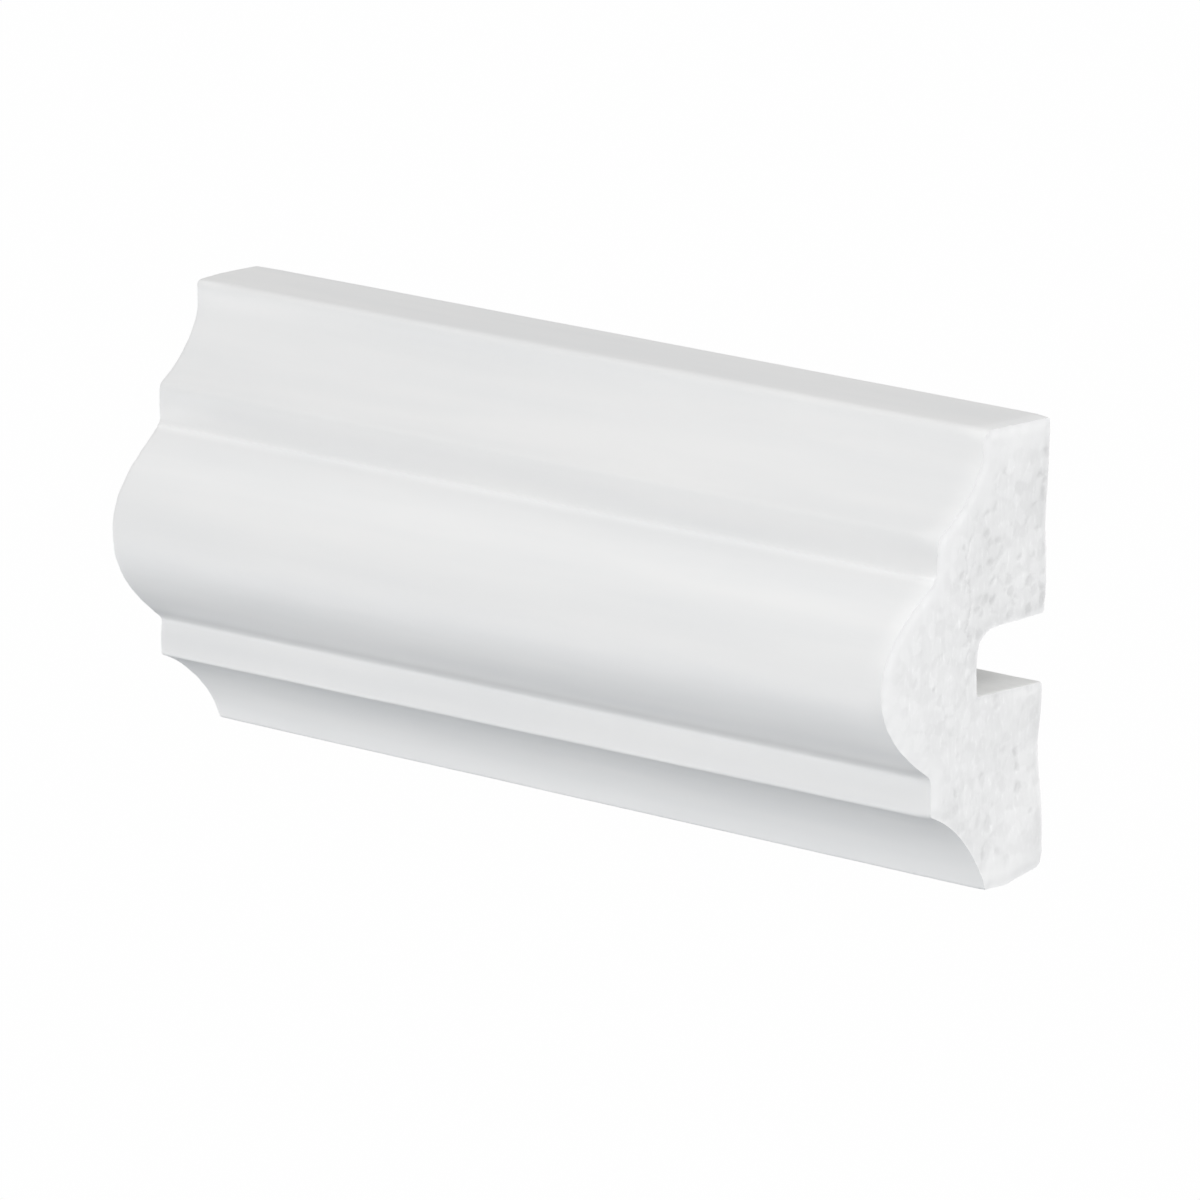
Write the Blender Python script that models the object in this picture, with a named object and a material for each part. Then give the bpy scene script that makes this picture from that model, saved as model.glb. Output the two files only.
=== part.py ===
"""Chair rail moulding: a short length of extruded foam moulding, cut square at both ends.

Units are metres and +Z is up. The rail runs along X. Its moulded front faces -Y, and its flat
back lies in the plane Y = 0, against the wall. From the top down the front has a short top edge,
a cove, a flat fillet, a torus, a second fillet and a cove that sweeps in to a narrow foot. A
square channel for a cable runs the length of the back and is open to the wall.

The origin is in the middle of the upper back land, the broad flat strip above the channel, at
half the rail's length.
"""

import math

import bmesh
import bpy
from mathutils import Vector
from mathutils.geometry import interpolate_bezier

# Length of the piece along the wall
LENGTH = 0.137

# Heights of the members, from the top edge down to the foot
TOP_EDGE_HEIGHT = 0.0038
UPPER_COVE_HEIGHT = 0.0088
UPPER_FILLET_HEIGHT = 0.0052
TORUS_HEIGHT = 0.0265
LOWER_FILLET_HEIGHT = 0.0048
LOWER_COVE_HEIGHT = 0.0115

# How far each member stands out from the wall
TOP_PROJECTION = 0.0123
FILLET_PROJECTION = 0.0204
TORUS_PROJECTION = 0.0303
FOOT_PROJECTION = 0.0100

# How deep each cove dips below the straight line between its two edges
UPPER_COVE_HOLLOW = 0.0011
LOWER_COVE_HOLLOW = 0.0018

# The torus leaves both fillets at this slope and is pulled out to a full, round nose
TORUS_SHOULDER_ANGLE = math.radians(41)
TORUS_SHOULDER_PULL = 0.35
TORUS_NOSE_PULL = 0.50

# Cable channel in the back
CHANNEL_HEIGHT = 0.009
CHANNEL_DEPTH = 0.012
CHANNEL_FLOOR_ABOVE_FOOT = 0.0258
CHANNEL_TOP_ROUNDING = 0.0012

# Small roundings that the extrusion leaves
TOP_EDGE_ROUNDING = 0.001
BACK_FOOT_ROUNDING = 0.0015

# Straight steps in each round stretch of the outline
COVE_STEPS = 12
TORUS_STEPS = 18
ROUNDING_STEPS = 5

# Shading breaks where two faces meet at more than this
SHARP_ANGLE = math.radians(24)

FOAM_COLOUR = (0.90, 0.90, 0.89, 1.0)
FOAM_ROUGHNESS = 0.55

COLLECTION_NAME = "Chair rail moulding"
NODE_NAME = "chair_rail_moulding"


def clear_scene():
    """Remove whatever the file opened with."""
    for item in list(bpy.data.objects):
        bpy.data.objects.remove(item, do_unlink=True)


def hollow_arc(start, end, hollow, steps):
    """Points after start, up to end, on the arc that dips below the line from start to end.

    The dip is to the right of that line, which is into the body when the outline is drawn
    from the top down with the wall on the left.
    """
    chord = end - start
    along = chord.normalized()
    inward = Vector((along.y, -along.x))
    radius = chord.length ** 2 / (8 * hollow) + hollow / 2
    centre = start + chord / 2 - inward * (radius - hollow)
    half_angle = math.asin(chord.length / 2 / radius)
    points = []
    for step in range(1, steps + 1):
        angle = half_angle * (2 * step / steps - 1)
        points.append(centre + along * radius * math.sin(angle) + inward * radius * math.cos(angle))
    return points


def quarter_round(corner, arriving, leaving, radius, steps):
    """Points that round a right-angled corner.

    The unit vectors arriving and leaving point from the corner back along the edge that comes
    in, and on along the edge that goes out.
    """
    centre = corner + (arriving + leaving) * radius
    points = []
    for step in range(steps + 1):
        angle = math.pi / 2 * step / steps
        points.append(centre - leaving * radius * math.cos(angle) - arriving * radius * math.sin(angle))
    return points


def torus_curve(top, nose, bottom):
    """Points from the torus's top to its bottom: two smooth curves that meet upright at the nose."""
    half_height = (top.y - bottom.y) / 2
    reach = TORUS_SHOULDER_PULL * half_height
    shoulder = Vector((math.cos(TORUS_SHOULDER_ANGLE), math.sin(TORUS_SHOULDER_ANGLE))) * reach
    upright = Vector((0, TORUS_NOSE_PULL * half_height))
    upper = interpolate_bezier(
        top, top + Vector((shoulder.x, -shoulder.y)), nose + upright, nose, TORUS_STEPS + 1)
    lower = interpolate_bezier(
        nose, nose - upright, bottom + shoulder, bottom, TORUS_STEPS + 1)
    return upper + lower[1:]


def member_levels():
    """Height of each edge of the profile above the foot, worked up from the foot."""
    levels = {"foot": 0.0}
    levels["lower_fillet_bottom"] = LOWER_COVE_HEIGHT
    levels["torus_bottom"] = levels["lower_fillet_bottom"] + LOWER_FILLET_HEIGHT
    levels["torus_top"] = levels["torus_bottom"] + TORUS_HEIGHT
    levels["upper_fillet_top"] = levels["torus_top"] + UPPER_FILLET_HEIGHT
    levels["top_edge_bottom"] = levels["upper_fillet_top"] + UPPER_COVE_HEIGHT
    levels["top"] = levels["top_edge_bottom"] + TOP_EDGE_HEIGHT
    levels["channel_floor"] = CHANNEL_FLOOR_ABOVE_FOOT
    levels["channel_top"] = CHANNEL_FLOOR_ABOVE_FOOT + CHANNEL_HEIGHT
    return levels


def front_outline(levels):
    """The moulded front from the top face down to the foot, as (projection, height) points."""
    out, down, back, up = Vector((1, 0)), Vector((0, -1)), Vector((-1, 0)), Vector((0, 1))
    top_front = Vector((TOP_PROJECTION, levels["top"]))
    cove_start = Vector((TOP_PROJECTION, levels["top_edge_bottom"]))
    cove_end = Vector((FILLET_PROJECTION, levels["upper_fillet_top"]))
    torus_top = Vector((FILLET_PROJECTION, levels["torus_top"]))
    torus_bottom = Vector((FILLET_PROJECTION, levels["torus_bottom"]))
    nose = Vector((TORUS_PROJECTION, (levels["torus_top"] + levels["torus_bottom"]) / 2))
    lower_cove_start = Vector((FILLET_PROJECTION, levels["lower_fillet_bottom"]))
    foot_front = Vector((FOOT_PROJECTION, levels["foot"]))
    foot_back = Vector((0, levels["foot"]))
    points = [Vector((0, levels["top"]))]
    points += quarter_round(top_front, back, down, TOP_EDGE_ROUNDING, ROUNDING_STEPS)
    points.append(cove_start)
    points += hollow_arc(cove_start, cove_end, UPPER_COVE_HOLLOW, COVE_STEPS)
    points += torus_curve(torus_top, nose, torus_bottom)
    points.append(lower_cove_start)
    points += hollow_arc(lower_cove_start, foot_front, LOWER_COVE_HOLLOW, COVE_STEPS)
    points += quarter_round(foot_back, out, up, BACK_FOOT_ROUNDING, ROUNDING_STEPS)
    return points


def channel_outline(levels):
    """The cable channel, from its floor at the wall round to its top at the wall."""
    out_of_channel, down = Vector((-1, 0)), Vector((0, -1))
    inner_top = Vector((CHANNEL_DEPTH, levels["channel_top"]))
    points = [
        Vector((0, levels["channel_floor"])),
        Vector((CHANNEL_DEPTH, levels["channel_floor"])),
    ]
    points += quarter_round(inner_top, down, out_of_channel, CHANNEL_TOP_ROUNDING, ROUNDING_STEPS)
    points.append(Vector((0, levels["channel_top"])))
    return points


def section_outline():
    """The whole section, with the height of the origin taken off."""
    levels = member_levels()
    origin_height = (levels["channel_top"] + levels["top"]) / 2
    shift = Vector((0, -origin_height))
    return [point + shift for point in front_outline(levels) + channel_outline(levels)]


def extrude_section(name, outline, length):
    """Fill the outline as a flat curve and give it its length, half to each side."""
    curve = bpy.data.curves.new(name + "_section", "CURVE")
    curve.dimensions = "2D"
    curve.fill_mode = "BOTH"
    curve.extrude = length / 2
    spline = curve.splines.new("POLY")
    spline.points.add(len(outline) - 1)
    for spot, point in zip(spline.points, outline):
        spot.co = (point.x, point.y, 0, 1)
    spline.use_cyclic_u = True
    guide = bpy.data.objects.new(name + "_section", curve)
    bpy.context.scene.collection.objects.link(guide)
    # Projection becomes -Y, height stays up and the extrusion runs along X
    guide.rotation_euler = (math.pi / 2, 0, -math.pi / 2)
    bpy.context.view_layer.update()
    return guide


def solid_from_curve(name, guide, collection):
    """Turn the filled curve into a closed mesh object and remove the curve."""
    evaluated = guide.evaluated_get(bpy.context.evaluated_depsgraph_get())
    mesh = bpy.data.meshes.new_from_object(evaluated)
    mesh.name = name
    solid = bpy.data.objects.new(name, mesh)
    solid.matrix_world = guide.matrix_world.copy()
    collection.objects.link(solid)
    bpy.data.objects.remove(guide, do_unlink=True)
    shape = bmesh.new()
    shape.from_mesh(mesh)
    bmesh.ops.remove_doubles(shape, verts=shape.verts, dist=1e-6)
    bmesh.ops.recalc_face_normals(shape, faces=shape.faces)
    shape.to_mesh(mesh)
    shape.free()
    mesh.shade_smooth()
    mesh.set_sharp_from_angle(angle=SHARP_ANGLE)
    return solid


def foam_material():
    """White extruded foam with its smooth skin."""
    material = bpy.data.materials.new("white_foam")
    material.use_nodes = True
    shader = material.node_tree.nodes["Principled BSDF"]
    shader.inputs["Base Color"].default_value = FOAM_COLOUR
    shader.inputs["Roughness"].default_value = FOAM_ROUGHNESS
    shader.inputs["Metallic"].default_value = 0.0
    return material


def main():
    clear_scene()
    collection = bpy.data.collections.new(COLLECTION_NAME)
    bpy.context.scene.collection.children.link(collection)
    guide = extrude_section(NODE_NAME, section_outline(), LENGTH)
    rail = solid_from_curve(NODE_NAME, guide, collection)
    rail.data.materials.clear()
    rail.data.materials.append(foam_material())


main()
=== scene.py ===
# %% [markdown]
# # A short length of chair rail moulding
#
# A chair rail runs along a wall at the height of a chair's back. This one is extruded from white
# foamed polymer. A steel die gives it its section, and as it leaves the die the outside cools to
# a smooth skin while the inside stays foam. The sample is sawn off at both ends, and a square
# channel along its back leaves room for a cable between the rail and the wall.
#
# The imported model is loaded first. It fixes the size, the place and the axes, and everything
# below is fitted to it: X along the rail, the moulded front towards -Y, and Z up.

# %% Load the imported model
import math
import random

import bmesh
import bpy
import numpy as np
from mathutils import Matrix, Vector, noise
from mathutils.geometry import delaunay_2d_cdt, interpolate_bezier


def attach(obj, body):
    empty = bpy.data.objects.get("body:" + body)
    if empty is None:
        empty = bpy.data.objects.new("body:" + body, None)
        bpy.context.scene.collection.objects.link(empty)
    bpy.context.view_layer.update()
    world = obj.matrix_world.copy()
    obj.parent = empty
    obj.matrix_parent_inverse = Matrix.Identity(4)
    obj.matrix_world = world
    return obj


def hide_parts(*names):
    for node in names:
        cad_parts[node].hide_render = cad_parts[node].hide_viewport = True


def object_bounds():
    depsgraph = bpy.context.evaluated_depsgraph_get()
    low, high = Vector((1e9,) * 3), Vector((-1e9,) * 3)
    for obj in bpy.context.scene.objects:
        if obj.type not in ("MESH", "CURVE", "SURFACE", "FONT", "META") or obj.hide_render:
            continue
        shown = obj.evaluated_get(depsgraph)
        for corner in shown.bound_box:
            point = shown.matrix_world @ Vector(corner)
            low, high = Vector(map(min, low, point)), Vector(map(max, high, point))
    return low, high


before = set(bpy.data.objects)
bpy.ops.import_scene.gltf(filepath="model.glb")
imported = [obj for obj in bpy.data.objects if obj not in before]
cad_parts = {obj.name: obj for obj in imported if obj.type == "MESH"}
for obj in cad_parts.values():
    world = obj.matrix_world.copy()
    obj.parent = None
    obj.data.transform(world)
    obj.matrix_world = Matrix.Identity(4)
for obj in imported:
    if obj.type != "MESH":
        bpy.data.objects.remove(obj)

MM = 0.001
cad_low, cad_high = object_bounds()
print("model box, mm:", [round(size / MM, 2) for size in cad_high - cad_low])

# %% [markdown]
# ## The members of the section
#
# A joiner reads a moulding from the top down: a narrow top edge, a cove, a flat fillet, the big
# half-round that is called a torus, a second fillet and a cove that sweeps in to the foot. Each
# member has a height and a distance that it stands out from the wall.
#
# The outline could be traced point by point. It is worked out from these few sizes instead, so
# that it is easy to read, and so that each stretch can be divided as finely as its finish needs.

# %% Sizes of the members
TOP_EDGE_HEIGHT = 3.8 * MM
UPPER_COVE_HEIGHT = 8.8 * MM
UPPER_FILLET_HEIGHT = 5.2 * MM
TORUS_HEIGHT = 26.5 * MM
LOWER_FILLET_HEIGHT = 5.0 * MM
LOWER_COVE_HEIGHT = 11.3 * MM

TOP_PROJECTION = 12.3 * MM
FILLET_PROJECTION = 20.4 * MM
TORUS_PROJECTION = 30.3 * MM
FOOT_PROJECTION = 10.0 * MM

UPPER_COVE_HOLLOW = 1.1 * MM
LOWER_COVE_HOLLOW = 1.8 * MM
TORUS_SHOULDER_ANGLE = math.radians(41)
TORUS_UNDERSIDE_ANGLE = math.radians(35)
TORUS_SHOULDER_PULL = 0.35
TORUS_NOSE_PULL = 0.50

CHANNEL_HEIGHT = 9.0 * MM
CHANNEL_DEPTH = 12.0 * MM
CHANNEL_FLOOR_ABOVE_FOOT = 25.8 * MM
CHANNEL_ROOF_SAG = 0.6 * MM

# %% Height of each edge above the foot
lower_fillet_bottom = LOWER_COVE_HEIGHT
torus_bottom = lower_fillet_bottom + LOWER_FILLET_HEIGHT
torus_top = torus_bottom + TORUS_HEIGHT
upper_fillet_top = torus_top + UPPER_FILLET_HEIGHT
top_edge_bottom = upper_fillet_top + UPPER_COVE_HEIGHT
rail_top = top_edge_bottom + TOP_EDGE_HEIGHT
channel_floor = CHANNEL_FLOOR_ABOVE_FOOT
channel_top = channel_floor + CHANNEL_HEIGHT
print("height of the members together, mm:", round(rail_top / MM, 2))

# %% [markdown]
# ## Drawing the curved members
#
# A cove is an arc of a circle, and its hollow says how far it dips below the straight line
# between its two edges. The torus isn't a true half circle: it leaves both fillets at a slope and
# swells to a full nose. An arc can't do that, so it is drawn by two Bezier curves that meet
# upright at the nose. Points are (distance from the wall, height above the foot).

# %% Curved stretches
COVE_DIVISIONS = 40
TORUS_HALF_DIVISIONS = 60


def cove_arc(start, end, hollow):
    """The arc from start to end that dips below the straight line between them."""
    chord = end - start
    along = chord.normalized()
    inward = Vector((along.y, -along.x))
    radius = chord.length ** 2 / (8 * hollow) + hollow / 2
    centre = start + chord / 2 - inward * (radius - hollow)
    half_angle = math.asin(chord.length / 2 / radius)
    points = []
    for step in range(COVE_DIVISIONS + 1):
        angle = half_angle * (2 * step / COVE_DIVISIONS - 1)
        points.append(centre + along * radius * math.sin(angle) + inward * radius * math.cos(angle))
    return points


def torus_curve():
    """The torus from its shoulder, over the nose, to its underside."""
    top = Vector((FILLET_PROJECTION, torus_top))
    bottom = Vector((FILLET_PROJECTION, torus_bottom))
    nose = Vector((TORUS_PROJECTION, (torus_top + torus_bottom) / 2))
    half_height = TORUS_HEIGHT / 2
    reach = TORUS_SHOULDER_PULL * half_height
    shoulder = Vector((math.cos(TORUS_SHOULDER_ANGLE), -math.sin(TORUS_SHOULDER_ANGLE))) * reach
    underside = Vector((math.cos(TORUS_UNDERSIDE_ANGLE), math.sin(TORUS_UNDERSIDE_ANGLE))) * reach
    upright = Vector((0, TORUS_NOSE_PULL * half_height))
    upper = interpolate_bezier(top, top + shoulder, nose + upright, nose, TORUS_HALF_DIVISIONS)
    lower = interpolate_bezier(nose, nose - upright, bottom + underside, bottom, TORUS_HALF_DIVISIONS)
    return upper + lower[1:]


# %% [markdown]
# ## Walking round the outline
#
# The outline goes round the section once, from the wall along the top, down the moulded front,
# under the foot, and up the back with its channel. Even steps would be simple, but they waste
# points on flat stretches. Each stretch is walked in eased steps instead, short near its two ends
# and long in its middle, so that most points stand at the arrises, where a fine rounding catches
# the light.

# %% Walk a stretch in eased steps
CROWDING = 0.8


def eased_share(share, crowding):
    """A share from 0 to 1, moved so that even steps become short ones near 0 and 1."""
    return share - crowding * math.sin(2 * math.pi * share) / (2 * math.pi)


def walk(points, count):
    """Eased steps along a polyline, without its last point."""
    lengths = [0.0]
    for start, end in zip(points, points[1:]):
        lengths.append(lengths[-1] + (end - start).length)
    walked = []
    segment = 0
    for step in range(count):
        distance = eased_share(step / count, CROWDING) * lengths[-1]
        while lengths[segment + 1] < distance:
            segment += 1
        part = (distance - lengths[segment]) / (lengths[segment + 1] - lengths[segment])
        walked.append(points[segment].lerp(points[segment + 1], part))
    return walked


# %% The stretches in order, each with its number of steps
corner = {
    "top": Vector((0, rail_top)),
    "top_edge": Vector((TOP_PROJECTION, rail_top)),
    "upper_cove": Vector((TOP_PROJECTION, top_edge_bottom)),
    "upper_fillet": Vector((FILLET_PROJECTION, upper_fillet_top)),
    "torus": Vector((FILLET_PROJECTION, torus_top)),
    "lower_fillet": Vector((FILLET_PROJECTION, torus_bottom)),
    "lower_cove": Vector((FILLET_PROJECTION, lower_fillet_bottom)),
    "foot": Vector((FOOT_PROJECTION, 0)),
    "lower_land": Vector((0, 0)),
    "channel_floor": Vector((0, channel_floor)),
    "channel_back": Vector((CHANNEL_DEPTH, channel_floor)),
    "channel_roof": Vector((CHANNEL_DEPTH, channel_top - CHANNEL_ROOF_SAG)),
    "upper_land": Vector((0, channel_top)),
}
STEPS = {
    "top": 20, "top_edge": 14, "upper_cove": 32, "upper_fillet": 16, "torus": 90,
    "lower_fillet": 16, "lower_cove": 40, "foot": 18, "lower_land": 28,
    "channel_floor": 16, "channel_back": 14, "channel_roof": 16, "upper_land": 28,
}
SKIN_STRETCHES = (
    "top", "top_edge", "upper_cove", "upper_fillet", "torus", "lower_fillet", "lower_cove", "foot",
)

names = list(corner)
outline, stretch_of_point, first_point = [], [], {}
for place, name in enumerate(names):
    end = corner[names[(place + 1) % len(names)]]
    if name == "upper_cove":
        line = cove_arc(corner[name], end, UPPER_COVE_HOLLOW)
    elif name == "lower_cove":
        line = cove_arc(corner[name], end, LOWER_COVE_HOLLOW)
    elif name == "torus":
        line = torus_curve()
    else:
        line = [corner[name], end]
    first_point[name] = len(outline)
    outline += walk(line, STEPS[name])
    stretch_of_point += [name] * STEPS[name]
outline = np.array(outline)
print("points round the section:", len(outline))

# %% [markdown]
# ## Softened arrises
#
# Nothing that leaves a die has a knife edge. Along its whole length each arris here is rounded by
# a few tenths of a millimetre, a little unevenly, and near the saw cuts most of them are rubbed a
# little further. Only the channel's roof has a broad curve.
#
# A Bevel modifier gives one width everywhere. The rounding here changes along the rail, so it is
# a formula: near a corner a point moves towards the inside of the bend by (r - d)^2 / 4r, where d
# is its distance from the corner and r the reach of the rounding. That draws a smooth parabola.

# %% Distances along the outline and the two directions at each corner
steps_between = np.roll(outline, -1, axis=0) - outline
step_lengths = np.linalg.norm(steps_between, axis=1)
along_outline = np.concatenate([[0.0], np.cumsum(step_lengths)[:-1]])
girth = step_lengths.sum()


def distance_from_corner(name):
    """How far each outline point is from a corner, measured along the outline."""
    apart = np.abs(along_outline - along_outline[first_point[name]])
    return np.minimum(apart, girth - apart)


def bend_at_corner(name):
    """The sum of the unit vectors that leave a corner along its two stretches."""
    here = first_point[name]
    onward = steps_between[here] / step_lengths[here]
    back = -steps_between[here - 1] / step_lengths[here - 1]
    return onward + back


corner_distance = {name: distance_from_corner(name) for name in names}
corner_bend = {name: bend_at_corner(name) for name in names}
print("girth of the section, mm:", round(girth / MM, 1))

# %% Round the arrises of one section
# Reach of each rounding in mm: along the rail, at the left cut and at the right cut
ROUNDING = {
    "top": (0.5, 0.8, 0.6),
    "top_edge": (1.5, 1.0, 2.2),
    "upper_cove": (1.4, 1.6, 1.6),
    "upper_fillet": (0.9, 1.0, 1.8),
    "torus": (0.8, 0.9, 1.4),
    "lower_fillet": (0.6, 0.6, 0.9),
    "lower_cove": (0.6, 0.5, 0.8),
    "foot": (0.4, 0.5, 0.5),
    "lower_land": (1.8, 2.0, 1.2),
    "channel_floor": (0.5, 0.6, 0.4),
    "channel_back": (0.6, 0.6, 0.6),
    "channel_roof": (3.6, 3.6, 3.7),
    "upper_land": (0.5, 0.6, 0.6),
}
WEAR_LENGTH = 5.0 * MM
UNEVENNESS = 0.25
UNEVEN_LENGTH = 14 * MM


def fade(distance, length):
    """1 at a cut, falling smoothly to 0 at the given distance from it."""
    share = min(max(1 - distance / length, 0.0), 1.0)
    return share * share * (3 - 2 * share)


def rounding_reach(name, from_left, from_right):
    """Reach of one arris's rounding at a place along the rail."""
    body, left, right = ROUNDING[name]
    place = Vector((from_left / UNEVEN_LENGTH, along_outline[first_point[name]] / MM, 0))
    reach = body * (1 + UNEVENNESS * noise.noise(place))
    reach += (left - body) * fade(from_left, WEAR_LENGTH)
    reach += (right - body) * fade(from_right, WEAR_LENGTH)
    return reach * MM


def soften(section, from_left, from_right):
    """Round every arris of one section."""
    for name in names:
        reach = rounding_reach(name, from_left, from_right)
        short = np.clip(reach - corner_distance[name], 0, None)
        section += np.outer(short ** 2 / (4 * reach), corner_bend[name])
    return section


# %% [markdown]
# ## An uneven foot
#
# The foot isn't quite parallel to the other members. It rises by almost a millimetre towards
# the left end, and at the right cut its face tilts up towards the wall. The foot could be turned
# as a whole, but that would open a crease above it. Both are small moves of the points below the
# lower fillet instead, in proportion to how low they are.

# %% Lift of the foot
FOOT_RISE_LEFT = 0.9 * MM
FOOT_TILT = math.radians(14.5)
FOOT_TILT_LENGTH = 25 * MM
TILT_STARTS = 6.2 * MM


def lift_foot(section, from_left, from_right):
    """Raise the foot towards the left end, and its back edge near the right cut."""
    lowness = np.clip(1 - section[:, 1] / lower_fillet_bottom, 0, 1)
    rise = FOOT_RISE_LEFT * from_right / (from_left + from_right)
    behind = np.clip(TILT_STARTS - section[:, 0], 0, None)
    tilt = math.tan(FOOT_TILT) * fade(from_right, FOOT_TILT_LENGTH)
    section[:, 1] += lowness * (rise + behind * tilt)
    return section


# %% [markdown]
# ## Two saw cuts that aren't quite square
#
# The sample was cut by hand. Both cuts lean by one or two degrees, so the rail is longest along
# its top back edge, and the saw wandered a little on its way through. The rims are also slightly
# ragged.
#
# A Boolean with a slanted block would cut the rail too, but it leaves long thin faces. Each cut is
# a formula instead, which says how far along the rail it lies at any point of the section: a
# plane, given by its place at the middle of the section and by two small slopes, with a few
# shallow swells on it.

# %% The surfaces of the cuts
# Where a cut's place is measured: distance from the wall, and height above the foot
SECTION_MIDDLE = Vector((15 * MM, rail_top - 30 * MM))
# Each swell: height of its middle above the foot, half its height, distance of its middle from
# the wall, half its width, and its amount along X, all in millimetres
LEFT_CUT = {
    "middle": -66.85 * MM, "lean": math.radians(-1.44), "turn": math.radians(1.44),
    "facing": -1, "nick_seed": 3.0, "grain_seed": 21,
    "swells": (
        (12.0, 10.0, 12, 25, -1.1),
        (61.0, 7.0, 7, 7, -0.55),
    ),
}
RIGHT_CUT = {
    "middle": 66.56 * MM, "lean": math.radians(1.66), "turn": math.radians(-2.05),
    "facing": 1, "nick_seed": 11.0, "grain_seed": 47,
    "swells": (
        (57, 15, 0, 10, 0.5),
        (39, 10, 0, 10, 0.6),
        (24, 7, 0, 8, 0.45),
        (5, 13, 0, 10, 1.2),
        (-2, 9, 10, 8, 0.5),
    ),
}


def cut_surface(cut, projection, height):
    """Distance along the rail of a cut's surface at a point of the section."""
    rise = np.tan(cut["lean"]) * (height - SECTION_MIDDLE.y)
    swing = np.tan(cut["turn"]) * (projection - SECTION_MIDDLE.x)
    surface = cut["middle"] + rise + swing
    for middle, half_height, out, half_width, amount in cut["swells"]:
        tall = np.clip(1 - ((height / MM - middle) / half_height) ** 2, 0, 1) ** 2
        wide = np.clip(1 - ((projection / MM - out) / half_width) ** 2, 0, 1) ** 2
        surface = surface + amount * MM * tall * wide
    return surface


print("length along the middle, mm:", round((RIGHT_CUT["middle"] - LEFT_CUT["middle"]) / MM, 2))

# %% Nicks in the rims
NICK_DEPTH = 0.30 * MM
NICK_LENGTH = 1.6 * MM
NICK_REACH = 1.5 * MM
# Shares of that depth: what is taken everywhere, and what changes slowly and quickly along a rim
NICK_SHARES = (0.35, 0.35, 0.12)
QUICKER = 2.3


def nick(cut, across, up):
    """How far the rim of a cut is nicked back at a point of the section."""
    place = Vector((across / NICK_LENGTH, up / NICK_LENGTH, cut["nick_seed"]))
    everywhere, slow, quick = NICK_SHARES
    share = everywhere + slow * noise.noise(place) + quick * noise.noise(place * QUICKER)
    return NICK_DEPTH * max(share, 0.0)


for cut in (LEFT_CUT, RIGHT_CUT):
    cut["nicks"] = np.array([nick(cut, *point) for point in outline])
    print("deepest nick, mm:", round(cut["nicks"].max() / MM, 2))

# %% [markdown]
# ## Waves, bead and rubbed rims
#
# A cooling skin is never dead flat. It sinks by a few hundredths of a millimetre in long shallow
# waves, which only the reflections show. Where the torus meets the upper fillet the die leaves a
# fine raised bead. And near the cuts, where the sample is picked up, the soft rims are rubbed.
#
# Bump maps could draw all three, but a bump can't bend the outline, and a rubbed rim has to. So
# the points themselves move, in or out of the section. At an arris the ways out are blended over
# a short distance, which makes them fan out evenly.

# %% Directions that face out of the section
BLEND_WIDTH = 0.8 * MM

tangent = np.roll(outline, -1, axis=0) - np.roll(outline, 1, axis=0)
tangent /= np.linalg.norm(tangent, axis=1)[:, None]
outward = np.stack([-tangent[:, 1], tangent[:, 0]], axis=1)

apart = np.abs(along_outline[:, None] - along_outline[None, :])
apart = np.minimum(apart, girth - apart)
blend = np.exp(-(apart / BLEND_WIDTH) ** 2) * step_lengths
blend /= blend.sum(axis=1)[:, None]
outward_blend = blend @ outward
outward_blend /= np.linalg.norm(outward_blend, axis=1)[:, None]

# %% Where the skin is, and how much of it is handled: all of it but the foot
is_skin = np.array([name in SKIN_STRETCHES for name in stretch_of_point])
is_handled = blend @ [float(name in SKIN_STRETCHES and name != "foot") for name in stretch_of_point]
print("points on the skin:", int(is_skin.sum()))

# %% Shallow waves
SINK_DEPTH = 0.05 * MM
SINK_LENGTH = 30 * MM
SINK_WIDTH = 7 * MM
SINK_SEED = 5.0


def sink(section, from_left):
    """Let the skin sink in long shallow waves."""
    for place, distance in enumerate(along_outline):
        if is_skin[place]:
            spot = Vector((from_left / SINK_LENGTH, distance / SINK_WIDTH, SINK_SEED))
            section[place] -= outward[place] * SINK_DEPTH * (0.5 + 0.5 * noise.noise(spot))
    return section


# %% Bead
BEAD_HEIGHT = 0.12 * MM
BEAD_WIDTH = 0.25 * MM
BEAD_PLACE = 0.4 * MM


def raise_bead(section):
    """Raise the fine bead that the die leaves where the torus meets the upper fillet."""
    apart = (along_outline - along_outline[first_point["torus"]] - BEAD_PLACE) / BEAD_WIDTH
    section += outward_blend * (BEAD_HEIGHT * np.exp(-apart ** 2))[:, None]
    return section


# %% Rubbed rims
# How far in from a cut its rim is rubbed, and how deep it is rubbed at the cut itself
RUBBED_LEFT = (0.5 * MM, 0.05 * MM)
RUBBED_RIGHT = (2.8 * MM, 0.24 * MM)
RUBBED_BACK = (0.5 * MM, 0.08 * MM)


def rub_rim(section, from_left, from_right):
    """Draw the section in just before the cuts, where handling has rubbed their rims round."""
    for from_cut, rubbed_front in ((from_left, RUBBED_LEFT), (from_right, RUBBED_RIGHT)):
        for (length, depth), here in ((rubbed_front, is_handled), (RUBBED_BACK, 1 - is_handled)):
            inset = depth * max(1 - from_cut / length, 0.0) ** 2
            section -= outward_blend * (inset * here)[:, None]
    return section


# %% [markdown]
# ## Sweeping the skin
#
# Blender could sweep the outline with a curve or an array. Here the section changes from place to
# place, so the rings are made one by one, and later joined by four-sided faces. They are spread
# between the two cut surfaces, and the first and the last ring lie on them. They stand close
# together near the cuts, where the wear is, and further apart between them.

# %% Rings along the rail
RINGS = 124
RING_CROWDING = 0.9
FOOT_LEVEL = cad_low.z
WALL_PLANE = cad_high.y

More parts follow.
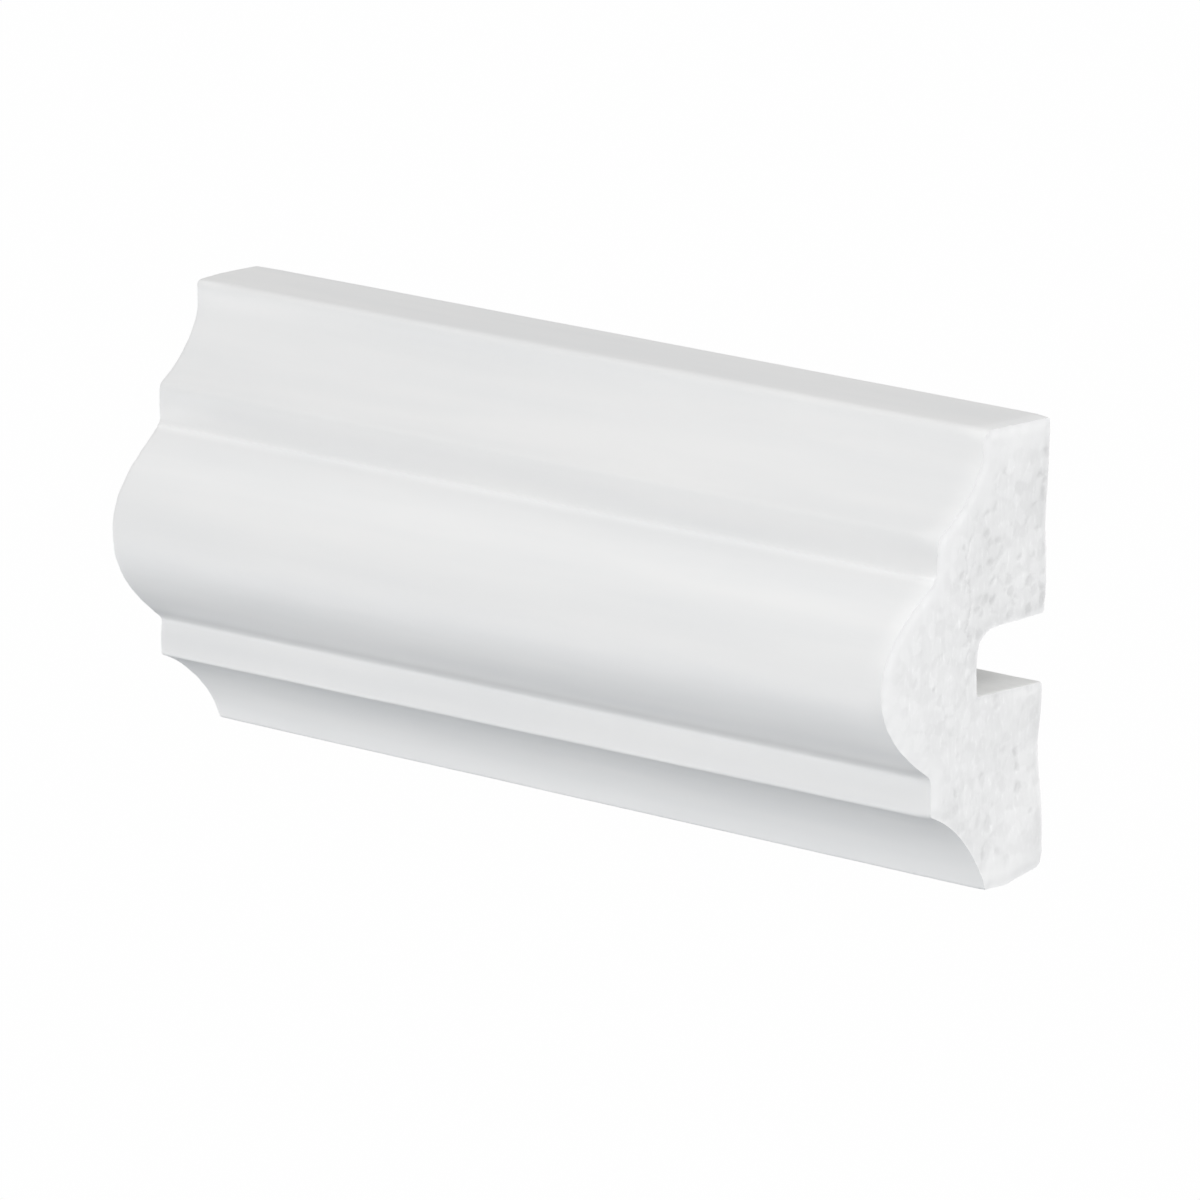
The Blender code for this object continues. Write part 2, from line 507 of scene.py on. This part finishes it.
rings = []
for ring in range(RINGS + 1):
    share = eased_share(ring / RINGS, RING_CROWDING)
    from_left = share * (cad_high.x - cad_low.x)
    from_right = (1 - share) * (cad_high.x - cad_low.x)
    section = sink(outline.copy(), from_left)
    section = soften(section, from_left, from_right)
    section = raise_bead(section)
    section = lift_foot(section, from_left, from_right)
    section = rub_rim(section, from_left, from_right)
    start = cut_surface(LEFT_CUT, section[:, 0], section[:, 1]) + LEFT_CUT["nicks"]
    end = cut_surface(RIGHT_CUT, section[:, 0], section[:, 1]) - RIGHT_CUT["nicks"]
    along = start + (end - start) * share
    rings.append(np.stack([along, WALL_PLANE - section[:, 0], FOOT_LEVEL + section[:, 1]], axis=1))
print("rings:", len(rings), "with", len(outline), "points each")

# %% [markdown]
# ## The sawn faces
#
# A saw opens the foam, and what it leaves is a rough face with real depth. A bump map would fake
# this, but then the mesh itself would be flat. Each cut face is made here as relief: points are
# scattered over the section, and a Delaunay triangulation joins them to the rim. The random draws
# have a seed, so each run is the same.

# %% Distance from the rim
def nearest_edge(points, rim, values, places):
    """Distance of each point from the rim's edges at some places, and the rim's value there."""
    nearest, nearest_value = np.full(len(points), 1.0), np.zeros(len(points))
    for place in places:
        following = (place + 1) % len(rim)
        run = rim[following] - rim[place]
        share = np.clip((points - rim[place]) @ run / max(run @ run, 1e-12), 0, 1)
        distance = np.linalg.norm(points - rim[place] - share[:, None] * run, axis=1)
        value = values[place] + share * (values[following] - values[place])
        nearest_value = np.where(distance < nearest, value, nearest_value)
        nearest = np.minimum(nearest, distance)
    return nearest, nearest_value


# %% Scatter points inside a rim
GRAIN = 0.27 * MM
JITTER = 0.28


def inside(points, rim):
    """Whether each point lies inside the closed rim."""
    crossings = np.zeros(len(points), dtype=bool)
    for start, end in zip(rim, np.roll(rim, -1, axis=0)):
        if start[1] != end[1]:
            spans = (start[1] > points[:, 1]) != (end[1] > points[:, 1])
            meets = start[0] + (points[:, 1] - start[1]) * (end[0] - start[0]) / (end[1] - start[1])
            crossings ^= spans & (points[:, 0] < meets)
    return crossings


def scatter(rim, seed):
    """Jittered points on a close triangular grid inside the rim."""
    draw = random.Random(seed)
    low, high = rim.min(axis=0), rim.max(axis=0)
    row_height = GRAIN * math.sqrt(3) / 2
    points = []
    for row in range(int((high[1] - low[1]) / row_height) + 1):
        for column in range(int((high[0] - low[0]) / GRAIN) + 1):
            across = low[0] + (column + 0.5 * (row % 2) + draw.uniform(-JITTER, JITTER)) * GRAIN
            up = low[1] + (row + draw.uniform(-JITTER, JITTER)) * row_height
            points.append((across, up))
    points = np.array(points)
    points = points[inside(points, rim)]
    distance, _ = nearest_edge(points, rim, np.zeros(len(rim)), range(len(rim)))
    return points[distance > GRAIN / 2]


# %% [markdown]
# ## What the saw shows
#
# Behind the smooth skin a cut shows a bright band of dense foam, two or three millimetres wide.
# Inside it the foam is a patchwork of flat torn cells, each with its own shade. Some are open, and
# painted shade darkens them; they lie mostly in the core by the wall, which a faint wavy seam parts
# from the rest.
#
# Each of these could be one noise texture. They have to agree with each other, though, because an
# open cell is both deep and darkened with painted shade, and the band is both smooth and bright. So
# one function works out the depth of a point and its marks together, from a few layers that are
# drawn below. Every layer reads its own row of the noise: the cut's seed, or that seed and a small
# number more.

# %% Patterns over a cut face
# How far each torn cell's borders are bent, and the stride that makes neighbours draw differently
CELL_WARP = 0.4
DRAW_STRIDE = 31.7
# Noise vectors start from the clock unless they are given a seed
WARP_SEED = 1
noise.seed_set(WARP_SEED)


def smooth_step(low, high, value):
    """0 below low, 1 above high and a smooth rise between them."""
    share = min(max((value - low) / (high - low), 0.0), 1.0)
    return share * share * (3 - 2 * share)


def pattern(across, up, size, row):
    """Smooth noise from -1 to 1 over a cut face, with features of the given width and height."""
    return noise.noise(Vector((across / size[0], up / size[1], row)))


def torn_cell(across, up, size, row):
    """How far inside its torn cell a point lies, and the cell's own draw from 0 to 1."""
    warp = noise.noise_vector(Vector((across / (2 * size[0]), up / (2 * size[1]), row))) * CELL_WARP
    distances, middles = noise.voronoi(Vector((across / size[0], up / size[1], row)) + warp)
    draw = 0.5 + 0.5 * noise.cell(middles[0] * DRAW_STRIDE)
    return distances[1] - distances[0], draw


# %% The band of dense foam behind the skin
# The band follows the skin everywhere but at the lower cove, where the saw tore it away
BANDED_STRETCHES = [name for name in SKIN_STRETCHES if name != "lower_cove"]
SKIN_BAND = 2.6 * MM
BAND_UNEVENNESS = 0.5
# The band is wider above, which sets in between these shares of the rail's height
WIDER_ABOVE = 0.4
WIDER_BETWEEN = (0.6, 0.8)
# Open foam sets in between these shares of the band's width
FOAM_BETWEEN = (0.4, 1.6)


def foam_share(skin_distance, level, uneven):
    """0 in the dense band, rising to 1 in the open foam."""
    widened = 1 + WIDER_ABOVE * smooth_step(*WIDER_BETWEEN, level)
    band = SKIN_BAND * (1 + BAND_UNEVENNESS * uneven) * widened
    return smooth_step(band * FOAM_BETWEEN[0], band * FOAM_BETWEEN[1], skin_distance)


# %% The core and its seam
# The core begins at this distance from the wall, behind the seam, which wanders to both sides
CORE_PROJECTION = 14.1 * MM
SEAM_WIDTH = 0.25 * MM
SEAM_DEPTH = 0.08 * MM
SEAM_WANDER = 1.3 * MM
SLOW_WANDER_LENGTH = 3.5 * MM
QUICK_WANDER_LENGTH = 0.9 * MM
QUICK_WANDER = 0.4
# Core and seam come in between these shares of the rail's height, the seam with breaks in it
CORE_BETWEEN = (0.35, 0.6)
SEAM_BETWEEN = (0.2, 0.6)
SEAM_BREAKS = 0.5
SLOW_ROW, QUICK_ROW = 0.5, 1.5


def core_and_seam(across, up, level, uneven, seed):
    """Whether a point lies in the core, and how strong the seam is there, both from 0 to 1."""
    wander = noise.noise(Vector((up / SLOW_WANDER_LENGTH, seed + SLOW_ROW, 0.5)))
    wander += QUICK_WANDER * noise.noise(Vector((up / QUICK_WANDER_LENGTH, seed + QUICK_ROW, 0.5)))
    behind = CORE_PROJECTION - across + SEAM_WANDER * wander
    core = smooth_step(-SEAM_WIDTH, SEAM_WIDTH, behind) * smooth_step(*CORE_BETWEEN, level)
    seam = max(1 - abs(behind) / SEAM_WIDTH, 0.0)
    seam *= smooth_step(*SEAM_BETWEEN, level + SEAM_BREAKS * uneven)
    return core, seam


# %% Flat patches, each with its own shade
PATCH_SIZE = (1.5 * MM, 1.7 * MM)
PATCH_DEPTH = 0.04 * MM
PATCH_EDGE = 0.12
CORE_DULLER = 0.4
# Patches are brighter out towards the nose, and duller down by the foot
NOSE_BRIGHTER = 0.9
EVEN_AT = 0.35
FOOT_DULLER = 0.6
DULLER_BELOW = (0.05, 0.3)


def patch_tone(across, up, level, core, seam, seed):
    """Shade of the patch that a point lies in: below 0 duller, above 0 brighter."""
    border, draw = torn_cell(across, up, PATCH_SIZE, seed)
    tone = (2 * draw - 1) * smooth_step(0.0, PATCH_EDGE, border) - CORE_DULLER * core - seam
    tone += NOSE_BRIGHTER * (across / TORUS_PROJECTION - EVEN_AT)
    tone -= FOOT_DULLER * (1 - smooth_step(*DULLER_BELOW, level))
    return tone


# %% Open cells
CELL_SIZE = (1.3 * MM, 1.5 * MM)
CELL_DEPTH = 0.07 * MM
CELL_EDGE = (0.02, 0.3)
CELL_ROW = 3
SHALLOWEST = 0.4
# What share of the cells is open, and how much more in the core
OPEN_RATE = 0.12
OPEN_RATE_IN_CORE = 0.20


def cell_openness(across, up, core, seed):
    """0 where the foam is closed, and up to 1 in the middle of a deep open cell."""
    border, chance = torn_cell(across, up, CELL_SIZE, seed + CELL_ROW)
    rate = OPEN_RATE + OPEN_RATE_IN_CORE * core
    if chance >= rate:
        return 0.0
    return smooth_step(*CELL_EDGE, border) * (SHALLOWEST + (1 - SHALLOWEST) * chance / rate)


# %% All layers together at one point of a cut
UNEVEN_SIZE = (2.4 * MM, 3.2 * MM)
UNEVEN_ROW = 7
FINE_SIZE = (0.45 * MM, 1.8 * MM)
FINE_DEPTH = 0.015 * MM
FINE_ROW = 2
TONE_IN_BAND = 0.3


def relief(across, up, skin_distance, seed):
    """Depth of the cut foam at one point, how open and how skinned it is, and its tone."""
    level = up / rail_top
    uneven = pattern(across, up, UNEVEN_SIZE, seed + UNEVEN_ROW)
    foam = foam_share(skin_distance, level, uneven)
    core, seam = core_and_seam(across, up, level, uneven, seed)
    tone = patch_tone(across, up, level, core, seam, seed)
    openness = cell_openness(across, up, core, seed)
    depth = foam * (CELL_DEPTH * openness + PATCH_DEPTH * (0.5 - 0.5 * tone) + SEAM_DEPTH * seam)
    depth += FINE_DEPTH * (1 + pattern(across, up, FINE_SIZE, seed + FINE_ROW))
    return depth, foam * openness, 1 - foam, (TONE_IN_BAND + (1 - TONE_IN_BAND) * foam) * tone


# %% Build one cut face
RELIEF_STARTS = 0.5 * MM
INSIDE_ONLY = 1
SAME_POINT = 1e-9


def sawn_face(cut, ring):
    """Points of a cut face that aren't on its rim, their marks, the triangles and their sources.

    The sources say which of the rim's points, and after them the scattered ones, each corner of
    the triangles was made from.
    """
    rim = np.stack([WALL_PLANE - ring[:, 1], ring[:, 2] - FOOT_LEVEL], axis=1)
    points = scatter(rim, cut["grain_seed"])
    rim_distance, rim_nick = nearest_edge(points, rim, cut["nicks"], range(len(rim)))
    banded = [place for place in range(len(rim)) if stretch_of_point[place] in BANDED_STRETCHES]
    skin_distance, _ = nearest_edge(points, rim, cut["nicks"], banded)
    _, _, triangles, sources, _, _ = delaunay_2d_cdt(
        [Vector(point) for point in np.concatenate([rim, points])],
        [], [list(range(len(rim)))], INSIDE_ONLY, SAME_POINT)
    spots, marks = [], []
    for point, near_rim, near_skin, nicked in zip(points, rim_distance, skin_distance, rim_nick):
        depth, *mark = relief(point[0], point[1], near_skin, cut["grain_seed"])
        depth *= 1 - fade(near_rim, RELIEF_STARTS)
        depth += nicked * fade(near_rim, NICK_REACH)
        surface = cut_surface(cut, point[0], point[1]) - cut["facing"] * depth
        spots.append((surface, WALL_PLANE - point[0], FOOT_LEVEL + point[1]))
        marks.append(mark)
    return spots, marks, triangles, sources


# %% [markdown]
# ## Painted light and shade on the skin
#
# Light and shade are painted into the skin's colour here. The top edge, a line along the bead and
# the shoulder of the torus get a painted highlight, and the recessed members and the underside of
# the torus get painted shade.
#
# A texture could be painted for this, but it follows the section alone. So each point of the
# outline carries it as a mark, which the finish reads later.

# %% Painted highlights and shade round the section
# Each highlight or shade: the corner it is measured from, distance past it, width in mm, and amount
SKIN_HIGHLIGHTS_AND_SHADE = (
    ("top_edge", 2.5, 2.0, 0.15),
    ("upper_cove", 7.0, 4.0, -0.15),
    ("upper_fillet", 2.7, 2.4, -0.35),
    ("torus", 0.5, 0.6, 0.75),
    ("torus", 6.5, 3.5, 0.35),
    ("torus", 21.5, 2.5, -0.40),
    ("lower_fillet", -2.0, 1.3, -1.25),
    ("lower_fillet", 2.5, 1.5, -0.20),
)

skin_light_and_shade = np.zeros(len(outline))
for name, past, width, amount in SKIN_HIGHLIGHTS_AND_SHADE:
    apart = (along_outline - along_outline[first_point[name]]) / MM - past
    skin_light_and_shade += amount * np.exp(-(apart / width) ** 2)
print("skin tone from", round(skin_light_and_shade.min(), 2), "to", round(skin_light_and_shade.max(), 2))

# %% [markdown]
# ## One closed mesh
#
# The rail is one piece of foam, so skin and cut faces share the points of their rims and make one
# closed surface. Three separate meshes would be easier to build, but light would leak between
# them. Each face remembers its finish, and each point its marks.

# %% Join the rings
SKIN, FOAM, BACK = 0, 1, 2

around = len(outline)
vertices = [tuple(point) for ring in rings for point in ring]
# Every point of the skin carries its painted highlight or shade as its tone mark
marks = [(0.0, 1.0, tone) for tone in skin_light_and_shade] * len(rings)
faces, finish_of_face = [], []
for ring in range(RINGS):
    for place in range(around):
        following = (place + 1) % around
        here, there = ring * around, (ring + 1) * around
        faces.append((here + place, here + following, there + following, there + place))
        finish_of_face.append(SKIN if is_skin[place] else BACK)
print("faces along the rail:", len(faces))

# %% Close both ends with the cut faces
for cut, ring in ((LEFT_CUT, 0), (RIGHT_CUT, RINGS)):
    spots, spot_marks, triangles, sources = sawn_face(cut, rings[ring])
    index = []
    for source in sources:
        on_rim = source[0] < around
        index.append(source[0] + (ring * around if on_rim else len(vertices) - around))
    vertices += spots
    marks += spot_marks
    for triangle in triangles:
        faces.append(tuple(index[point] for point in triangle))
        finish_of_face.append(FOAM)
    print("triangles on a cut face:", len(triangles))

# %% Make the mesh, with its finishes and marks
mesh = bpy.data.meshes.new("rail_with_sawn_ends")
mesh.from_pydata(vertices, [], faces)
mesh.polygons.foreach_set("material_index", finish_of_face)
# The tone mark carries the skin's painted highlights and shade, and each torn patch's own tone on the
# cut faces
for number, mark in enumerate(("openness", "skinned", "tone")):
    attribute = mesh.attributes.new(mark, "FLOAT", "POINT")
    attribute.data.foreach_set("value", [values[number] for values in marks])

# %% Turn all faces outwards and set the shading
SHARP_ANGLE = math.radians(50)

shape = bmesh.new()
shape.from_mesh(mesh)
bmesh.ops.recalc_face_normals(shape, faces=shape.faces)
open_edges = [edge for edge in shape.edges if not edge.is_manifold]
volume = shape.calc_volume()
shape.to_mesh(mesh)
shape.free()
mesh.shade_smooth()
mesh.set_sharp_from_angle(angle=SHARP_ANGLE)
rail = bpy.data.objects.new("rail_with_sawn_ends", mesh)
bpy.context.scene.collection.objects.link(rail)
print("open edges:", len(open_edges), " volume, cm3:", round(volume * 1e6, 1))

# %% [markdown]
# ## Finishes
#
# All three finishes are built from the same few parts: a noise that can be drawn out along the
# rail, a ramp that turns it into a colour, a bump, and on the skin and the cut foam a colour that
# is shaded by the mesh's marks. Pictures could be laid over the mesh instead. Noise needs no
# unwrapping, and its grain keeps the real size however the rail is turned.

# %% Helpers for materials
def blank_material(name, roughness):
    """A material with only its Principled shader, and the node tree to add to."""
    material = bpy.data.materials.new(name)
    material.use_nodes = True
    tree = material.node_tree
    shader = tree.nodes["Principled BSDF"]
    shader.inputs["Roughness"].default_value = roughness
    return material, tree, shader


def grey(value):
    """A neutral colour."""
    return (value, value, value)


def stretched_noise(tree, size, detail, stretch=(1, 1, 1)):
    """A noise whose features are about size metres wide, drawn out by the stretch factors."""
    place = tree.nodes.new("ShaderNodeTexCoord")
    mapping = tree.nodes.new("ShaderNodeMapping")
    for axis in range(3):
        mapping.inputs["Scale"].default_value[axis] = 1 / (size * stretch[axis])
    texture = tree.nodes.new("ShaderNodeTexNoise")
    texture.inputs["Scale"].default_value = 1.0
    texture.inputs["Detail"].default_value = detail
    tree.links.new(place.outputs["Object"], mapping.inputs["Vector"])
    tree.links.new(mapping.outputs["Vector"], texture.inputs["Vector"])
    return texture.outputs["Fac"]


def ramp(tree, factor, stops):
    """A colour ramp over a factor, from (position, colour) stops."""
    node = tree.nodes.new("ShaderNodeValToRGB")
    while len(node.color_ramp.elements) < len(stops):
        node.color_ramp.elements.new(0.5)
    for element, (position, colour) in zip(node.color_ramp.elements, stops):
        element.position = position
        element.color = (*colour, 1)
    tree.links.new(factor, node.inputs["Fac"])
    return node.outputs["Color"]


def add_bump(tree, height, depth, strength, under=None):
    """A bump of the given depth in metres, on top of another one if there is one."""
    node = tree.nodes.new("ShaderNodeBump")
    node.inputs["Strength"].default_value = strength
    node.inputs["Distance"].default_value = depth
    tree.links.new(height, node.inputs["Height"])
    if under is not None:
        tree.links.new(under, node.inputs["Normal"])
    return node.outputs["Normal"]


def shaded_by(tree, colour, mark, marks, factors):
    """A colour multiplied by a factor that follows one of the mesh's marks."""
    source = tree.nodes.new("ShaderNodeAttribute")
    source.attribute_name = mark
    factor = tree.nodes.new("ShaderNodeMapRange")
    factor.inputs["From Min"].default_value, factor.inputs["From Max"].default_value = marks
    factor.inputs["To Min"].default_value, factor.inputs["To Max"].default_value = factors
    product = tree.nodes.new("ShaderNodeMix")
    product.data_type = "RGBA"
    product.blend_type = "MULTIPLY"
    product.inputs["Factor"].default_value = 1.0
    tree.links.new(source.outputs["Fac"], factor.inputs["Value"])
    tree.links.new(colour, product.inputs["A"])
    tree.links.new(factor.outputs["Result"], product.inputs["B"])
    return product.outputs["Result"]


# %% [markdown]
# ## Satin skin
#
# The skin is white and satin. One plain white would look like paint. What makes it look extruded
# is small: a little unevenness of tone drawn out along the rail, spots that are glossier than
# others, faint lines from the die, and a fine orange peel over all of it.

# %% Make the satin skin
SKIN_DULL = (0.845, 0.85, 0.852)
SKIN_BRIGHT = (0.885, 0.885, 0.882)


def satin_skin():
    """The smooth white skin of the moulded front, the top and the foot."""
    material, tree, shader = blank_material("satin_skin", 0.5)
    streaks = stretched_noise(tree, 5 * MM, 2, (9, 1, 1))
    colour = ramp(tree, streaks, ((0.3, SKIN_DULL), (0.7, SKIN_BRIGHT)))
    # Painted light and shade: the tone mark brightens the top edge, the bead and the torus shoulder,
    # and darkens the recessed members and the underside of the torus
    toned = shaded_by(tree, colour, "tone", (-2, 2), (0.8, 1.2))
    tree.links.new(toned, shader.inputs["Base Color"])
    spots = stretched_noise(tree, 2 * MM, 3, (5, 1, 1))
    gloss = ramp(tree, spots, ((0.3, grey(0.44)), (0.7, grey(0.54))))
    tree.links.new(gloss, shader.inputs["Roughness"])
    die_lines = add_bump(tree, stretched_noise(tree, 0.5 * MM, 2, (60, 1, 1)), 0.02 * MM, 0.5)
    orange_peel = stretched_noise(tree, 0.35 * MM, 3, (1.5, 1, 1))
    peel = add_bump(tree, orange_peel, 0.015 * MM, 0.5, die_lines)
    tree.links.new(peel, shader.inputs["Normal"])
    return material


# %% [markdown]
# ## Sawn foam
#
# The cut foam is matt, with painted shade that darkens its open cells, and a few bright shreds that
# the saw left standing. The mesh already has the cells, so the finish only reads their marks and
# adds a mottle half a millimetre wide and a fine grain.

# %% Make the sawn foam
MOTTLE = ((0.35, grey(0.825)), (0.62, grey(0.847)), (0.74, grey(0.90)))
BAND_WHITE = 0.87


def sawn_foam():
    """The cut faces: a bright dense band behind the skin, and matt cellular foam inside it."""
    material, tree, shader = blank_material("sawn_foam", 0.8)
    mottle = ramp(tree, stretched_noise(tree, 0.5 * MM, 2, (1, 1, 3)), MOTTLE)
    skinned = tree.nodes.new("ShaderNodeAttribute")
    skinned.attribute_name = "skinned"
    banded = tree.nodes.new("ShaderNodeMix")
    banded.data_type = "RGBA"
    banded.inputs["B"].default_value = (*grey(BAND_WHITE), 1)
    tree.links.new(skinned.outputs["Fac"], banded.inputs["Factor"])
    tree.links.new(mottle, banded.inputs["A"])
    toned = shaded_by(tree, banded.outputs["Result"], "tone", (-1.5, 1.5), (0.93, 1.07))
    # Painted shade: the open cells are darkened, down to 0.88 of the colour in the deepest
    colour = shaded_by(tree, toned, "openness", (0, 1), (1, 0.88))
    tree.links.new(colour, shader.inputs["Base Color"])
    grain = add_bump(tree, stretched_noise(tree, 0.25 * MM, 2, (1, 1, 1.4)), 0.02 * MM, 0.3)
    tree.links.new(grain, shader.inputs["Normal"])
    return material


# %% [markdown]
# ## Planed back
#
# The back is planed to sit flat on the wall, and nobody sees it once the rail is up. It is the
# plainest of the three: matt foam with faint lines from the planer along it. The channel has the
# same finish.

# %% Make the planed back and give the rail its finishes
BACK_DULL = (0.81, 0.81, 0.80)
BACK_BRIGHT = (0.87, 0.87, 0.86)


def planed_back():
    """The back lands and the channel: plain matt foam with the planer's faint lines."""
    material, tree, shader = blank_material("planed_back", 0.75)
    tone = stretched_noise(tree, 1.5 * MM, 4, (4, 1, 1))
    colour = ramp(tree, tone, ((0.3, BACK_DULL), (0.7, BACK_BRIGHT)))
    tree.links.new(colour, shader.inputs["Base Color"])
    lines = add_bump(tree, stretched_noise(tree, 0.4 * MM, 3, (12, 1, 1)), 0.05 * MM, 0.6)
    tree.links.new(lines, shader.inputs["Normal"])
    return material


for finish in (satin_skin(), sawn_foam(), planed_back()):
    rail.data.materials.append(finish)
print("finishes:", [finish.name for finish in rail.data.materials])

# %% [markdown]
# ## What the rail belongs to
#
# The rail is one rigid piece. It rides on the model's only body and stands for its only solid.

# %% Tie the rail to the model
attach(rail, "root")
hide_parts("chair_rail_moulding")

# %% [markdown]
# ## Light from the room
#
# White on white needs light from all round with a gentle direction in it. A plain grey world
# would light every side alike, and a photographed room would bring its own colours. The room here
# is a smooth gradient, dim underfoot and brighter overhead, so the undersides keep a soft cool
# shade.

# %% Room light
# Each level: how far up the room it is, from -1 underfoot to 1 overhead, and its colour
ROOM = (
    (-1.0, (0.20, 0.22, 0.24)),
    (-0.4, (0.26, 0.27, 0.28)),
    (0.0, (0.41, 0.41, 0.41)),
    (0.5, (0.57, 0.57, 0.57)),
    (1.0, (0.58, 0.58, 0.58)),
)

world = bpy.data.worlds.new("room_light")
bpy.context.scene.world = world
world.use_nodes = True
room = world.node_tree
direction = room.nodes.new("ShaderNodeTexCoord")
parts = room.nodes.new("ShaderNodeSeparateXYZ")
height = room.nodes.new("ShaderNodeMapRange")
height.inputs["From Min"].default_value = -1.0
room.links.new(direction.outputs["Generated"], parts.inputs["Vector"])
room.links.new(parts.outputs["Z"], height.inputs["Value"])
walls = ramp(room, height.outputs["Result"], [((level + 1) / 2, colour) for level, colour in ROOM])
room.links.new(walls, room.nodes["Background"].inputs["Color"])

# %% [markdown]
# ## Soft boxes
#
# Large soft boxes give the light its direction: one beside the camera lights the front and the
# sawn end, one low on the left lifts the undersides, and one high on the right grazes the top. A
# fourth stands behind for the views of the back, and its light doesn't reach the front. They
# stand well away, so that both ends of the rail are lit alike.

# %% Place the soft boxes
BOX_SIZE = 2.0
BOX_DISTANCE = 3.0
RAIL_MIDDLE = Vector((0, -10 * MM, -17 * MM))
# Degrees round from the front towards the right, degrees up, and watts
SOFT_BOXES = {
    "box_by_camera": (50, 5, 53.0),
    "box_low_left": (-70, -25, 38.0),
    "box_high_right": (90, 55, 24.0),
    "box_behind": (180, -8, 14.0),
}


def towards(azimuth, elevation):
    """The direction from the rail to a place round it, both angles in radians."""
    return Vector((
        math.sin(azimuth) * math.cos(elevation),
        -math.cos(azimuth) * math.cos(elevation),
        math.sin(elevation),
    ))


for name, (azimuth, elevation, watts) in SOFT_BOXES.items():
    away = towards(math.radians(azimuth), math.radians(elevation))
    lamp = bpy.data.lights.new(name, "AREA")
    lamp.shape = "DISK"
    lamp.size = BOX_SIZE
    lamp.energy = watts
    box = bpy.data.objects.new(name, lamp)
    box.location = RAIL_MIDDLE + away * BOX_DISTANCE
    box.rotation_mode = "QUATERNION"
    box.rotation_quaternion = (-away).to_track_quat("-Z", "Y")
    box.visible_camera = False
    bpy.context.scene.collection.objects.link(box)
print("soft boxes:", list(SOFT_BOXES))

# %% [markdown]
# ## A plain pale floor
#
# The rail is shown on plain white, with no shadow under it. The floor lies two metres below and
# rises all round into a white dome, so that it is the same from every side. It is only there to
# be seen: it gives the camera an even white, and the lights shine through it.

# %% Floor
FLOOR_LEVEL = -2.0
DOME_RADIUS = 5.0
DOME_SEGMENTS = 96
DOME_BANDS = 48
FLOOR_WHITE = 0.995

shape = bmesh.new()
bmesh.ops.create_uvsphere(
    shape, u_segments=DOME_SEGMENTS, v_segments=DOME_BANDS, radius=DOME_RADIUS)
for spot in shape.verts:
    spot.co.z = max(spot.co.z, FLOOR_LEVEL)
floor_mesh = bpy.data.meshes.new("floor")
shape.to_mesh(floor_mesh)
shape.free()
floor = bpy.data.objects.new("floor", floor_mesh)
bpy.context.scene.collection.objects.link(floor)
pale, _, pale_shader = blank_material("pale_floor", 0.9)
pale_shader.inputs["Base Color"].default_value = (0, 0, 0, 1)
pale_shader.inputs["Specular IOR Level"].default_value = 0
pale_shader.inputs["Emission Color"].default_value = (1, 1, 1, 1)
pale_shader.inputs["Emission Strength"].default_value = FLOOR_WHITE
floor_mesh.materials.append(pale)
floor.visible_diffuse = False
floor.visible_glossy = False
floor.visible_transmission = False
floor.visible_shadow = False

# %% [markdown]
# ## Camera
#
# The photograph was taken with a long lens, a little above the rail and from its right, so that
# the sawn end shows beside the moulded front. The angles and the distance come from matching the
# long edges and the outlines of both ends. A shorter lens would make the near end look larger
# than it is in the photograph.

# %% Place the camera
AZIMUTH = math.radians(41.37)
ELEVATION = math.radians(13.53)
DISTANCE = 1.850
AIM = Vector((-3.54 * MM, -4.60 * MM, -21.74 * MM))
# The camera's own units are millimetres
FOCAL_LENGTH = 427.0
SENSOR_WIDTH = 36.0

backward = towards(AZIMUTH, ELEVATION)
lens = bpy.data.cameras.new("camera")
lens.sensor_width = SENSOR_WIDTH
lens.lens = FOCAL_LENGTH
camera = bpy.data.objects.new("camera", lens)
camera.location = AIM + backward * DISTANCE
camera.rotation_mode = "QUATERNION"
camera.rotation_quaternion = (-backward).to_track_quat("-Z", "Y")
bpy.context.scene.collection.objects.link(camera)
bpy.context.scene.camera = camera
bpy.context.scene.view_settings.view_transform = "Standard"
print("camera at, m:", [round(value, 2) for value in camera.location])

# %% [markdown]
# ## Finish
#
# The scene is brought up to date. The dressed rail has to fit in the model's box.

# %% Bring the scene up to date
bpy.context.view_layer.update()
